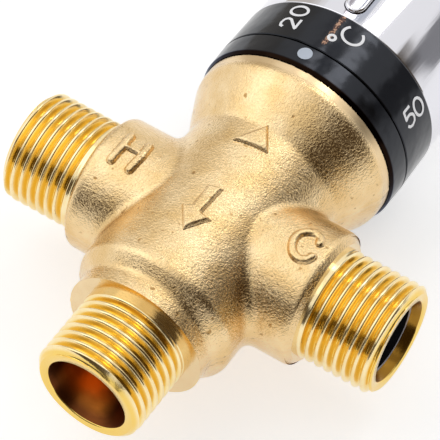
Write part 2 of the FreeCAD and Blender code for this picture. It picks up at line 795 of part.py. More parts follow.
def spline_bush():
    low, high = hub_foot + bush_lift, screw_plate - bush_drop
    bush = rod(bush_r - press_gap, low, high)
    return bush.cut(splines(spline_root_r + seat_gap, spline_r + seat_gap, spline_teeth,
                            low - over, high + over))


def knob_screw():
    foot, head = well_floor - screw_length, well_floor + screw_head
    screw = turned((0, foot), (screw_r, foot), (screw_r, well_floor), (screw_head_r, well_floor),
                   (screw_head_r, head, screw_head / 2), (0, head + screw_crown))
    reach = screw_head_r / 2
    slot = block(-screw_slot, screw_slot, head - free_gap, head + 2 * screw_crown, -reach, reach)
    return screw.cut([slot, around(slot, 90)])


def knob_cap():
    outer = well_r - press_gap
    inner = outer - cap_wall
    return turned((0, knob_top - cap_plate), (inner, knob_top - cap_plate), (inner, knob_top - cap_depth),
                  (outer, knob_top - cap_depth), (outer, knob_top - bush_lift, soft_edge), (inner, knob_top),
                  (0, knob_top + cap_crown))


# ================================================================ output
save("valve_body", valve_body())
for name, side in (("hot", -1), ("cold", 1)):
    save(f"{name}_check_housing", to_port(check_housing(), side))
    save(f"{name}_check_seal", to_port(check_seal(), side))
    save(f"{name}_check_guide", to_port(check_guide(), side))
    save(f"{name}_check_spring", to_port(check_spring(), side))
    save(f"{name}_poppet", to_port(check_poppet(), side))

save("cartridge_sleeve", cartridge_sleeve())
for name, step in (("lower", -1), ("middle", 0), ("upper", 1)):
    save(f"{name}_sleeve_seal", o_ring(seal_mid_r, seal_wire_r, crossing + step * land_pitch))
save("spring_seat", spring_seat())
save("hot_seat", seat_ring(hot_seat, -1))
save("cold_seat", seat_ring(cold_seat, 1))
save("shuttle", shuttle())
save("shuttle_seal", shuttle_seal())
save("wax_element", wax_element())
save("return_spring", return_spring())

save("adjuster_piston", adjuster_piston())
save("thrust_cup", thrust_cup())
save("overload_spring", overload_spring())
save("carriage_clip", carriage_clip())
save("adjusting_carriage", adjusting_carriage())
save("bonnet", bonnet())
save("bonnet_seal", o_ring(seal_mid_r, seal_wire_r, bonnet_seal_y))
save("spindle", spindle())
save("spindle_seal", spindle_seal())
save("spindle_clip", spindle_clip())

save("index_ring", index_ring())
save("stop_collar", stop_collar())
save("scale_ring", scale_ring())
save("knob", knob())
save("spline_bush", spline_bush())
save("knob_screw", knob_screw())
save("knob_cap", knob_cap())
save("safety_button", safety_button())
save("button_spring", button_spring())
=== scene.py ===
import json
import math

import bmesh
import bpy
import numpy as np
from mathutils import Matrix, Vector


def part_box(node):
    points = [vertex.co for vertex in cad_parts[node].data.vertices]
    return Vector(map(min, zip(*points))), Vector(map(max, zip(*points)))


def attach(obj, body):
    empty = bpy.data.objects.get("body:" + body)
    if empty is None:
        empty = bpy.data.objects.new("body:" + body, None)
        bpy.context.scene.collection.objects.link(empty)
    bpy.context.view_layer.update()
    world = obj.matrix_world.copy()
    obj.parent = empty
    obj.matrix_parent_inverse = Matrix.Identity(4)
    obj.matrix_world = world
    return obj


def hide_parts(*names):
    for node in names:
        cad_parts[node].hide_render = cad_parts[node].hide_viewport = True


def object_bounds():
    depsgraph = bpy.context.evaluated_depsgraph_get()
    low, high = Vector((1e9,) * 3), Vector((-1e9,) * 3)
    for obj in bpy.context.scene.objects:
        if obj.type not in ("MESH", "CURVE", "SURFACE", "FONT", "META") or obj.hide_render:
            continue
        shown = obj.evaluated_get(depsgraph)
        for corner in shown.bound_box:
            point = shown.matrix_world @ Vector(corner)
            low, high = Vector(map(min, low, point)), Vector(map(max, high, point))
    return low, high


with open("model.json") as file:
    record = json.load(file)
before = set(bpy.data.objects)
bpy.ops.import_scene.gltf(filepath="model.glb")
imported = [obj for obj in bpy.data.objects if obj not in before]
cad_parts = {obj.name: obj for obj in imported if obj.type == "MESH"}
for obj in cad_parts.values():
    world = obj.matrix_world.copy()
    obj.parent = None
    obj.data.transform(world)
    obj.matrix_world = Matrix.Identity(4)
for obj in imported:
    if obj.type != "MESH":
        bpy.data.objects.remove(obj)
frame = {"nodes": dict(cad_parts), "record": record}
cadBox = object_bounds()
record = frame["record"]
mm = 0.001
mounts = {mount["name"]: mount for mount in record["mounts"]}
crossing = mounts["cold_inlet"]["pos_m"][1]      # outlet face to the line of the two inlets
inletReach = mounts["cold_inlet"]["pos_m"][0]
threadRadius = mounts["cold_inlet"]["dims"]["r_mm"] * mm
threadLength = mounts["cold_inlet"]["dims"]["length_mm"] * mm
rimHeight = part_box("valve_body")[1].y            # bell's rim, where the index ring sits
crossingMm = crossing / mm
shoulderMm = (inletReach - threadLength) / mm    # crossing to the shoulder behind an inlet's thread


# points round a closed outline of (radius, height, rounding) corners, in millimetres
def roundedLoop(corners, steps=6):
    loop = []
    for i, corner in enumerate(corners):
        here = Vector(corner[:2])
        rounding = corner[2] if len(corner) > 2 else 0
        if rounding <= 0:
            loop.append(here)
            continue
        back = (Vector(corners[i - 1][:2]) - here).normalized()
        on = (Vector(corners[(i + 1) % len(corners)][:2]) - here).normalized()
        half = back.angle(on) / 2
        centre = here + (back + on).normalized() * (rounding / math.sin(half))
        first = here + back * rounding / math.tan(half) - centre
        last = here + on * rounding / math.tan(half) - centre
        sweep = first.angle_signed(last)
        for step in range(steps + 1):
            angle = -sweep * step / steps
            turned = Vector((first.x * math.cos(angle) - first.y * math.sin(angle),
                             first.x * math.sin(angle) + first.y * math.cos(angle)))
            loop.append(centre + turned)
    return loop


# a point about the Y axis, given in millimetres; angle 0 looks along +Z
def aboutAxis(radius, height, angle):
    return (radius * mm * math.sin(angle), height * mm, radius * mm * math.cos(angle))


# faces between neighbouring rings of vertices; a ring of one vertex is a pole
def joinRings(bm, rings):
    for here, there in zip(rings, rings[1:]):
        count = max(len(here), len(there))
        for k in range(count):
            j = (k + 1) % count
            quad = [here[k % len(here)], here[j % len(here)], there[j % len(there)], there[k % len(there)]]
            corner = list(dict.fromkeys(quad))
            if len(corner) > 2:
                bm.faces.new(corner)


# mesh turned about the Y axis from a closed outline in millimetres
def lathe(corners, segments, steps=6):
    bm = bmesh.new()
    rings = []
    for point in roundedLoop(corners, steps):
        count = segments if point.x > 1e-6 else 1
        rings.append([bm.verts.new(aboutAxis(point.x, point.y, 2 * math.pi * k / segments))
                      for k in range(count)])
    joinRings(bm, rings + rings[:1])
    bmesh.ops.recalc_face_normals(bm, faces=bm.faces)
    return bm


# where a mesh made along +Y goes to lie along an inlet, from the given distance out: +1 cold, -1 hot
def inletPlace(side, out=0.0):
    return Matrix.Translation((side * out, crossing, 0)) @ Matrix.Rotation(-side * math.pi / 2, 4, "Z")


def smooth(piece, sharp):
    piece.data.shade_smooth()
    piece.data.set_sharp_from_angle(angle=math.radians(sharp))


def newPiece(name, bm, material, sharp=35):
    mesh = bpy.data.meshes.new(name)
    bm.to_mesh(mesh)
    bm.free()
    mesh.materials.append(material)
    piece = bpy.data.objects.new(name, mesh)
    smooth(piece, sharp)
    bpy.context.scene.collection.objects.link(piece)
    return piece


def dress(piece, body, slot, *nodes):
    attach(piece, body)
    if nodes:
        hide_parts(*nodes)


def applyModifiers(piece):
    graph = bpy.context.evaluated_depsgraph_get()
    mesh = bpy.data.meshes.new_from_object(piece.evaluated_get(graph))
    piece.modifiers.clear()
    piece.data = mesh


def cutAway(piece, cutters, sharp):
    for cutter in cutters:
        cut = piece.modifiers.new("cut", "BOOLEAN")
        cut.operation = "DIFFERENCE"
        cut.solver = "EXACT"
        cut.material_mode = "TRANSFER"
        cut.object = cutter
        applyModifiers(piece)
        bpy.data.objects.remove(cutter)
    smooth(piece, sharp)


# a socket that adds Math nodes where it takes part in sums, products and powers
class Sock:
    def __init__(self, tree, socket):
        self.tree = tree
        self.socket = socket

    def math(self, operation, *others):
        return self.tree.maths(operation, self, *others)

    def __add__(self, other):
        return self.tree.maths("ADD", self, other)

    def __radd__(self, other):
        return self.tree.maths("ADD", other, self)

    def __sub__(self, other):
        return self.tree.maths("SUBTRACT", self, other)

    def __rsub__(self, other):
        return self.tree.maths("SUBTRACT", other, self)

    def __mul__(self, other):
        return self.tree.maths("MULTIPLY", self, other)

    def __rmul__(self, other):
        return self.tree.maths("MULTIPLY", other, self)

    def __truediv__(self, other):
        return self.tree.maths("DIVIDE", self, other)

    def __pow__(self, other):
        return self.tree.maths("POWER", self, other)


# one node tree: add makes any node, sets and links it, and hands back the output asked for
class Tree:
    def __init__(self, nodeTree):
        self.nodes = nodeTree.nodes
        self.links = nodeTree.links

    def add(self, kind, settings=None, *values, out=0, **named):
        node = self.nodes.new(kind)
        for key, value in (settings or {}).items():
            if key == "stops":
                for element, (place, shade) in zip(node.color_ramp.elements, value):
                    element.position = place
                    element.color = shade
            else:
                setattr(node, key, value)
        for place, value in list(enumerate(values)) + list(named.items()):
            socket = node.inputs[place.replace("_", " ") if isinstance(place, str) else place]
            if isinstance(value, Sock):
                self.links.new(value.socket, socket)
            elif value is not None:
                socket.default_value = value
        return Sock(self, node.outputs[out]) if node.outputs else None

    def maths(self, operation, *values):
        return self.add("ShaderNodeMath", {"operation": operation}, *values)


def newMaterial(name):
    material = bpy.data.materials.new(name)
    material.use_nodes = True
    material.node_tree.nodes.clear()
    return material, Tree(material.node_tree)


def colour(red, green, blue):
    return (red, green, blue, 1.0)


# Principled surface over a bump of the given height socket, and the output
def finishMaterial(tree, height, distance, strength, **sockets):
    normal = tree.add("ShaderNodeBump", None, Strength=strength, Distance=distance, Height=height)
    surface = tree.add("ShaderNodeBsdfPrincipled", None, Normal=normal, **sockets)
    tree.add("ShaderNodeOutputMaterial", None, Surface=surface)


def objectCoordinates(tree):
    return tree.add("ShaderNodeTexCoord", out="Object")


def noise(tree, where, scale, detail=3.0, roughness=0.5, distortion=0.0):
    return tree.add("ShaderNodeTexNoise", None, Vector=where, Scale=scale, Detail=detail,
                    Roughness=roughness, Distortion=distortion)


def ramp(tree, value, low, high):       # black up to low, white from high
    return tree.add("ShaderNodeValToRGB", {"stops": ((low, colour(0, 0, 0)), (high, colour(1, 1, 1)))}, value)


def parts(tree, vector):                # the three parts of a vector
    return [tree.add("ShaderNodeSeparateXYZ", None, vector, out=axis) for axis in range(3)]


def between(tree, value, low, high):    # 0 at low rising smoothly to 1 at high; low may be the larger
    return tree.add("ShaderNodeMapRange", {"interpolation_type": "SMOOTHSTEP"}, value, low, high, 0.0, 1.0)


def mixColour(tree, share, first, second):
    unused = [None] * 5                 # the factor and colours of a Mix node are its sockets 0, 6 and 7
    return tree.add("ShaderNodeMix", {"data_type": "RGBA"}, share, *unused, first, second, out=2)


def fromAxis(across, depth):            # distance from the outlet's axis, or from the inlets'
    return (across * across + depth * depth) ** 0.5


# in the looks below, a noise layer is (scale, detail, roughness, distortion) and lengths are in metres
forgedLook = {
    "light": colour(0.85, 0.64, 0.36), "deep": colour(0.74, 0.51, 0.235), "crevice": colour(0.45, 0.27, 0.10),
    "roughness": 0.06, "uneven": 0.06, "blotch": (160.0, 4.0, 0.6), "blotchRange": (0.36, 0.64),
    "swell": (260.0, 3.0, 0.5), "swellHeight": 0.00009, "grain": (2300.0, 3.0, 0.6, 0.4),
    "grainHeight": 0.00012, "stipple": (4400.0, 2.0, 0.6), "stippleHeight": 0.00004,
    "pits": (700.0, 1.0), "pitRange": (0.22, 0.30), "pitDepth": 0.00003,
    "band": colour(0.85, 0.66, 0.42), "bandWidth": 0.0013, "bandFade": 0.0014, "bandRoughness": 0.2,
    "bandShare": 0.5,
}


# cast skin all over, but for a smoother turned band below the bell's rim
def makeForgedBrass():
    material, tree = newMaterial("forgedBrass")
    where = objectCoordinates(tree)
    look = forgedLook
    blotch = noise(tree, where, *look["blotch"])
    pits = ramp(tree, noise(tree, where, *look["pits"]), *look["pitRange"])
    bandFoot = rimHeight - look["bandWidth"]
    cast = between(tree, parts(tree, where)[1], bandFoot, bandFoot - look["bandFade"])
    height = noise(tree, where, *look["grain"]) * look["grainHeight"]
    height = height + noise(tree, where, *look["stipple"]) * look["stippleHeight"] + pits * look["pitDepth"]
    height = (height + noise(tree, where, *look["swell"]) * look["swellHeight"]) * cast
    base = mixColour(tree, ramp(tree, blotch, *look["blotchRange"]), look["deep"], look["light"])
    # painted shade: a darker brown in the recessed pits of the cast skin
    base = mixColour(tree, pits, look["crevice"], base)
    base = mixColour(tree, look["bandShare"] * (1 - cast), base, look["band"])
    finishMaterial(tree, height, 1.0, 1.0, Base_Color=base, Metallic=1.0,
                   Roughness=look["roughness"] + look["uneven"] * blotch + look["bandRoughness"] * (1 - cast))
    return material


machinedLook = {
    "light": colour(0.95, 0.80, 0.48), "deep": colour(0.90, 0.70, 0.35), "groove": colour(0.88, 0.60, 0.13),
    "grooveShare": 0.9, "grooveTop": 0.0001, "grooveDepth": 0.0008, "roughness": 0.13, "uneven": 0.08,
    "blotch": (240.0, 3.0, 0.6), "blotchRange": (0.35, 0.65),
    "fine": (2600.0, 2.0, 0.5), "fineHeight": 0.00002, "fineStrength": 0.5,
}


# cut thread: pale crests, and a warmer, darker tone down in the grooves that is painted shade
def makeMachinedBrass():
    material, tree = newMaterial("machinedBrass")
    where = objectCoordinates(tree)
    look = machinedLook
    blotch = noise(tree, where, *look["blotch"])
    base = mixColour(tree, ramp(tree, blotch, *look["blotchRange"]), look["deep"], look["light"])
    x, y, z = parts(tree, where)
    radius = fromAxis(x, z).math("MINIMUM", fromAxis(y - crossing, z))
    # painted shade: the colour darkens and warms from the crests down to the roots
    groove = between(tree, radius, threadRadius - look["grooveTop"], threadRadius - look["grooveDepth"])
    base = mixColour(tree, groove * look["grooveShare"], base, look["groove"])
    finishMaterial(tree, noise(tree, where, *look["fine"]), look["fineHeight"], look["fineStrength"],
                   Base_Color=base, Metallic=1.0, Roughness=look["roughness"] + look["uneven"] * blotch)
    return material


# painted light and shade in the outlet bore: a bright glow colour further in, and a dark colour at the mouth
boreLook = {
    "glow": colour(0.86, 0.28, 0.035), "deep": colour(0.15, 0.045, 0.012), "glowAngle": -152.0,
    "glowFoot": 0.001, "glowHead": 0.006, "glowSides": (0.0045, 0.0068), "roughness": 0.33,
    "cloud": (200.0, 4.0, 0.6), "cloudLeast": 0.5,
    "fine": (1200.0, 2.0), "fineHeight": 0.00004, "fineStrength": 0.6,
}


# outlet bore in red-brown oxide, with painted shade at the mouth and a painted glow of light further in on
# two opposite sides
def makeBoreBrass():
    material, tree = newMaterial("boreBrass")
    where = objectCoordinates(tree)
    look = boreLook
    x, y, z = parts(tree, where)
    # painted light: the glow lies on the two walls along one direction across the bore, rising from the mouth
    # inwards
    angle = math.radians(look["glowAngle"])
    along = x * math.sin(angle) + z * math.cos(angle)
    share = between(tree, along.math("ABSOLUTE"), *look["glowSides"])
    share = share * between(tree, y, look["glowFoot"], look["glowHead"])
    share = share * (look["cloudLeast"] + noise(tree, where, *look["cloud"]))
    base = mixColour(tree, share.math("MINIMUM", 1.0), look["deep"], look["glow"])
    finishMaterial(tree, noise(tree, where, *look["fine"]), look["fineHeight"], look["fineStrength"],
                   Base_Color=base, Metallic=1.0, Roughness=look["roughness"])
    return material


ringLook = {
    "base": colour(0.004, 0.004, 0.005), "scuff": colour(0.013, 0.013, 0.015),
    "foot": colour(0.010, 0.005, 0.003), "footHead": 0.0009, "footFade": 0.0005,
    "roughness": 0.1, "uneven": 0.12, "cloud": (120.0, 5.0, 0.6), "scuffRange": (0.5, 0.75),
    "wave": (90.0, 3.0), "waveHeight": 0.0004, "flakeHeight": 0.000004,
    "worn": colour(0.72, 0.42, 0.27), "wornDeep": colour(0.06, 0.02, 0.012),
    "wornAngle": 0.8, "wornHalf": 2.3, "wornSolid": 0.8, "wornFoot": 0.0325, "wornHead": 0.035,
    "wornPull": 0.42, "wornRange": (0.655, 0.70),
    "wornRoughness": 0.3, "flake": (900.0, 4.0, 0.7), "chip": (2400.0, 3.0, 0.6), "chipRange": (0.46, 0.54),
    "shine": 0.42, "shineTint": colour(0.82, 0.87, 1.0),
}


# gloss black with uneven shine, a painted shadow as a dark metallic band at its foot by the bell's rim, and a
# strip on the scale where the black has flaked off
def makeRingPlastic():
    material, tree = newMaterial("ringPlastic")
    where = objectCoordinates(tree)
    look = ringLook
    x, y, z = parts(tree, where)
    cloud = noise(tree, where, *look["cloud"])
    flake = noise(tree, where, *look["flake"])
    base = mixColour(tree, ramp(tree, cloud, *look["scuffRange"]), look["base"], look["scuff"])
    off = (x.math("ARCTAN2", z) * (180 / math.pi) - look["wornAngle"]).math("ABSOLUTE")
    strip = between(tree, off, look["wornHalf"], 0.0)
    strip = strip * between(tree, y, crossing + look["wornFoot"], crossing + look["wornHead"])
    worn = between(tree, strip * look["wornPull"] + flake, *look["wornRange"])
    worn = worn * between(tree, off, look["wornHalf"], look["wornSolid"])
    chip = between(tree, noise(tree, where, *look["chip"]), *look["chipRange"])
    base = mixColour(tree, worn, base, mixColour(tree, chip, look["wornDeep"], look["worn"]))
    # painted shadow: a dark brown metallic band at the ring's foot, where it meets the bell
    foot = between(tree, y, rimHeight + look["footHead"], rimHeight + look["footFade"])
    base = mixColour(tree, foot, base, look["foot"])
    height = noise(tree, where, *look["wave"]) * look["waveHeight"] + flake * look["flakeHeight"]
    finishMaterial(tree, height, 1.0, 1.0, Base_Color=base, Metallic=foot,
                   Roughness=look["roughness"] + look["uneven"] * cloud + look["wornRoughness"] * worn,
                   Specular_IOR_Level=look["shine"], Specular_Tint=look["shineTint"])
    return material


chromeLook = {
    "base": colour(0.75, 0.745, 0.785), "roughness": 0.05, "uneven": 0.06, "cloud": (60.0, 3.0),
    "streak": (420.0, 3.0), "streakStretch": (1.0, 0.1, 1.0), "streakHeight": 0.00004,
    "swell": (70.0, 2.0), "swellHeight": 0.00012,
}


def makeKnobChrome():
    material, tree = newMaterial("knobChrome")
    where = objectCoordinates(tree)
    look = chromeLook
    drawn = tree.add("ShaderNodeMapping", None, where, Scale=look["streakStretch"])
    height = noise(tree, drawn, *look["streak"]) * look["streakHeight"]
    height = height + noise(tree, where, *look["swell"]) * look["swellHeight"]
    finishMaterial(tree, height, 1.0, 1.0, Base_Color=look["base"], Metallic=1.0,
                   Roughness=look["roughness"] + look["uneven"] * noise(tree, where, *look["cloud"]))
    return material


acetalLook = {
    "base": colour(0.012, 0.012, 0.014), "lip": colour(0.62, 0.61, 0.67), "lipRadius": 0.0067,
    "lipHalf": 0.0005, "lipSolid": 0.0002, "lipFrom": 0.0295, "lipFull": 0.03, "roughness": 0.1,
    "fine": (400.0, 2.0), "fineHeight": 0.00001, "fineStrength": 0.3,
}


# black moulding, with a painted highlight as a pale ring on the check valves' rims in the inlets' mouths
def makeBlackAcetal():
    material, tree = newMaterial("blackAcetal")
    where = objectCoordinates(tree)
    look = acetalLook
    x, y, z = parts(tree, where)
    # painted highlight: a pale ring at one radius from the inlets' axis, near the ends of the inlets
    off = (fromAxis(y - crossing, z) - look["lipRadius"]).math("ABSOLUTE")
    lip = between(tree, off, look["lipHalf"], look["lipSolid"])
    lip = lip * between(tree, x.math("ABSOLUTE"), look["lipFrom"], look["lipFull"])
    finishMaterial(tree, noise(tree, where, *look["fine"]), look["fineHeight"], look["fineStrength"],
                   Base_Color=mixColour(tree, lip, look["base"], look["lip"]), Roughness=look["roughness"])
    return material


# two tones mixed by a cloud of noise, over a fine bump; the first tone is the one that glows
def makeMottled(name, first, second, roughness, metallic=1.0, glow=0.0, uneven=0.0,
                cloud=(240.0, 3.0, 0.6), fine=(1500.0, 2.0), height=0.00003, strength=0.6):
    material, tree = newMaterial(name)
    where = objectCoordinates(tree)
    blotch = noise(tree, where, *cloud)
    finishMaterial(tree, noise(tree, where, *fine), height, strength,
                   Base_Color=mixColour(tree, blotch, first, second), Metallic=metallic,
                   Roughness=roughness + uneven * blotch, Emission_Color=first, Emission_Strength=glow)
    return material


plainGrain = {"uneven": 0.1, "cloud": (300.0, 3.0), "fine": (1500.0, 3.0), "strength": 0.5}
plainShade = 0.82


# one tone, mottled with a darker shade of itself
def makePlain(name, base, roughness, metallic=0.0, glow=0.0):
    shade = colour(*(plainShade * part for part in base[:3]))
    return makeMottled(name, base, shade, roughness, metallic, glow, **plainGrain)


# the bores of the inlets' stubs, and the faces that are cut in the forging
mouthLook = {"first": colour(0.19, 0.085, 0.008), "second": colour(0.38, 0.20, 0.03), "roughness": 0.2}
facedLook = {"first": colour(0.76, 0.56, 0.30), "second": colour(0.86, 0.69, 0.43), "roughness": 0.2,
             "fine": (1800.0, 2.0)}
forgedBrass = makeForgedBrass()
machinedBrass = makeMachinedBrass()
boreBrass = makeBoreBrass()
mouthBrass = makeMottled("mouthBrass", **mouthLook)
ringPlastic = makeRingPlastic()
knobChrome = makeKnobChrome()
facedBrass = makeMottled("facedBrass", **facedLook)
# the print glows a little, as painted light that makes it brighter
printWhite = makePlain("printWhite", colour(0.98, 0.98, 1.0), 0.45, glow=0.16)
dotPaint = makePlain("dotPaint", colour(0.68, 0.75, 0.86), 0.35)
slotFinish = {
    "turned_brass": machinedBrass,
    "black_acetal": makeBlackAcetal(),
    "white_acetal": makePlain("whiteAcetal", colour(0.75, 0.75, 0.73), 0.35),
    "seal_rubber": makePlain("sealRubber", colour(0.012, 0.012, 0.012), 0.3),
    "spring_steel": makePlain("springSteel", colour(0.6, 0.6, 0.6), 0.25, 1.0),
    "copper": makePlain("copperCup", colour(0.75, 0.36, 0.2), 0.3, 1.0),
    "ring_plastic": ringPlastic,
    "knob_chrome": knobChrome,
    "button_chrome": knobChrome,
    "forged_brass": forgedBrass,
}
for subpart in record["subparts"]:
    node = frame["nodes"][subpart["node"]]
    node.data.materials.clear()
    node.data.materials.append(slotFinish[subpart["material_slot"]])
print("finishes ready")


# the forging in millimetres: radii, and heights over the crossing
forging = {
    "collarRadius": 13.2, "neckRound": 1.6, "neckFoot": -20.9, "trunkRadius": 15.4, "trunkFoot": -18.4,
    "trunkRound": 2.2, "bellFoot": 15.7, "bellRound": 2.4, "bellWaist": 19.6, "bellWaistRadius": 17.4,
    "waistRound": 4.0, "bellRadius": 19.6, "rimBand": 2.6, "rimRound": 5.0, "armRadius": 12.7, "armEdge": 1.7,
    "fillet": 2.3, "seam": 0.1, "seamHalf": 0.3, "voxel": 0.36, "past": 1.5, "segments": 96, "passes": 4,
    "capInset": 0.3, "armInset": 1.0, "footInset": 0.6, "collarPast": 2, "leastTurn": 0.1, "cornerSteps": 16,
}

# raised marks in plan: outlines of the solid ones, and (half width, points) of the drawn ones, which
# are smooth curves where they have more points than mostStraight
marks = {
    "height": 0.75, "foot": 0.1, "round": 0.8, "roundPower": 2.4, "front": 4,
    "cuts": 3, "cutShift": 0.2, "cutBand": 0.9, "cutDepth": 1.5, "mostStraight": 3,
    "solid": [
        [(-1.18, -0.27), (1.47, 0.28), (1.09, -5.94), (3.11, -6.19), (0.43, -10.61), (-2.63, -6.2),
         (-1.08, -5.41)],
        [(-3.12, 10.36), (0.36, 16.1), (3.34, 11.3)],
    ],
    "strokes": [
        (0.82, [(-19.13, -3.1), (-18.9, 0.0), (-19.06, 2.8)]),
        (0.85, [(-15.36, -3.1), (-15.0, 0.0), (-15.23, 2.6)]),
        (0.45, [(-18.95, 0.3), (-15.1, 0.4)]),
        (0.76, [(19.97, 1.64), (19.52, 2.64), (18.39, 3.13), (17.2, 2.71), (16.11, 1.5), (15.93, -0.05),
                (16.48, -1.52), (17.4, -2.49), (18.66, -2.81), (19.84, -2.29), (20.38, -1.37)]),
    ],
}
headMm = (rimHeight - crossing) / mm
footMm = (threadLength - crossing) / mm
farAway = 99.0


# height and radius of the trunk's wall over the crossing, sampled from its rounded outline
def trunkOutline():
    f = forging
    collarFoot = footMm - f["collarPast"]
    loop = roundedLoop([
        (0, collarFoot), (f["collarRadius"], collarFoot), (f["collarRadius"], f["neckFoot"], f["neckRound"]),
        (f["trunkRadius"], f["trunkFoot"], f["trunkRound"]),
        (f["trunkRadius"], f["bellFoot"], f["bellRound"]),
        (f["bellWaistRadius"], f["bellWaist"], f["waistRound"]),
        (f["bellRadius"], headMm - f["rimBand"], f["rimRound"]), (f["bellRadius"], headMm),
        (0, headMm)], f["cornerSteps"])
    wall = [point for point in loop if point.x > 0]
    return np.array([point.y for point in wall]), np.array([point.x for point in wall])


trunkHeights, trunkRadii = trunkOutline()


def armRadiusAt(x):
    edge = forging["armEdge"]
    over = np.clip(np.abs(x) - (shoulderMm - edge), 0, edge)
    return forging["armRadius"] - edge + np.sqrt(edge * edge - over * over)


def smoothMinimum(a, b, blend):
    h = np.clip(blend - np.abs(a - b), 0, None) / blend
    return np.minimum(a, b) - h * h * blend / 4


# signed distance, near enough, to the forging; p in millimetres about the crossing
def forgingField(p):
    fromTrunk = np.hypot(p[:, 0], p[:, 2])
    fromArm = np.hypot(p[:, 1], p[:, 2])
    trunk = fromTrunk - np.interp(p[:, 1], trunkHeights, trunkRadii)
    arm = fromArm - armRadiusAt(p[:, 0])
    turn = 1 - p[:, 2] ** 2 / np.maximum(fromTrunk * fromArm, 1e-6)   # how sharply the two walls meet
    return smoothMinimum(trunk, arm, forging["fillet"] * np.clip(turn, forging["leastTurn"], 1))


def fieldNormal(p, step=0.05):
    slope = np.zeros_like(p)
    for axis in range(3):
        off = np.zeros(3)
        off[axis] = step
        slope[:, axis] = forgingField(p + off) - forgingField(p - off)
    return slope / np.maximum(np.linalg.norm(slope, axis=1, keepdims=True), 1e-9)


def segmentDistance(p, a, b):
    a = np.array(a, float)
    b = np.array(b, float)
    share = np.clip(((p - a) @ (b - a)) / ((b - a) @ (b - a)), 0, 1)
    return np.linalg.norm(p - a - share[:, None] * (b - a), axis=1)


# distance to a closed outline, negative inside it
def outlineDistance(p, corners):
    inside = np.zeros(len(p), bool)
    near = np.full(len(p), farAway)
    for a, b in zip(corners, corners[1:] + corners[:1]):
        near = np.minimum(near, segmentDistance(p, a, b))
        level = a[0] + (p[:, 1] - a[1]) * (b[0] - a[0]) / (b[1] - a[1])
        inside ^= ((a[1] > p[:, 1]) != (b[1] > p[:, 1])) & (p[:, 0] < level)
    return np.where(inside, -near, near)


# points along a smooth curve through the given ones
def smoothLine(points, steps=5):
    points = np.array(points, float)
    ends = np.vstack([2 * points[0] - points[1], points, 2 * points[-1] - points[-2]])
    line = []
    for a, b, c, d in zip(ends, ends[1:], ends[2:], ends[3:]):
        for step in range(steps):
            t = step / steps
            line.append(0.5 * (2 * b + (c - a) * t + (2 * a - 5 * b + 4 * c - d) * t ** 2
                               + (3 * b - a - 3 * c + d) * t ** 3))
    return line + [points[-1]]


# distance in plan to the nearest mark, negative inside it; the marks are on the front alone
def markDistance(p):
    flat = p[:, :2]
    best = np.full(len(p), farAway)
    for corners in marks["solid"]:
        best = np.minimum(best, outlineDistance(flat, corners))
    for half, points in marks["strokes"]:
        line = smoothLine(points) if len(points) > marks["mostStraight"] else points
        for a, b in zip(line, line[1:]):
            best = np.minimum(best, segmentDistance(flat, a, b) - half)
    return np.where(p[:, 2] > marks["front"], best, farAway)


# how far the marks stand up: steep at the foot and rounded towards the middle
def markHeight(p):
    share = np.clip((marks["foot"] - markDistance(p)) / marks["round"], 0, 1)
    return marks["height"] * (1 - (1 - share) ** marks["roundPower"])


# trunk and arms run through each other, for the skin to be drawn over
def forgingCore():
    f = forging
    wall = [(radius, height) for height, radius in zip(trunkHeights[::3], trunkRadii[::3])]
    trunk = lathe([(0, trunkHeights[0])] + wall + [(trunkRadii[-1], headMm), (0, headMm)], f["segments"])
    armEnd = shoulderMm + f["past"]
    arm = lathe([(0, 0), (f["armRadius"], 0), (f["armRadius"], armEnd), (0, armEnd)], f["segments"])
    whole = bmesh.new()
    for bm, turn in ((trunk, Matrix()), (arm, Matrix.Rotation(math.pi / 2, 4, "Z")),
                     (arm, Matrix.Rotation(math.pi, 4, "Y"))):
        bm.transform(turn)
        mesh = bpy.data.meshes.new("core")
        bm.to_mesh(mesh)
        whole.from_mesh(mesh)
        bpy.data.meshes.remove(mesh)
    trunk.free()
    arm.free()
    whole.transform(Matrix.Translation((0, crossing, 0)))
    return whole


def readPoints(bm):
    return np.array([(v.co.x / mm, (v.co.y - crossing) / mm, v.co.z / mm) for v in bm.verts])


# finer mesh round the edges of the marks
def refineMarks(bm):
    points = readPoints(bm)
    near = np.abs(markDistance(points) + marks["cutShift"]) < marks["cutBand"]
    near &= forgingField(points) > -marks["cutDepth"]
    edges = [edge for edge in bm.edges if near[edge.verts[0].index] and near[edge.verts[1].index]]
    bmesh.ops.subdivide_edges(bm, edges=edges, cuts=marks["cuts"], use_grid_fill=True)


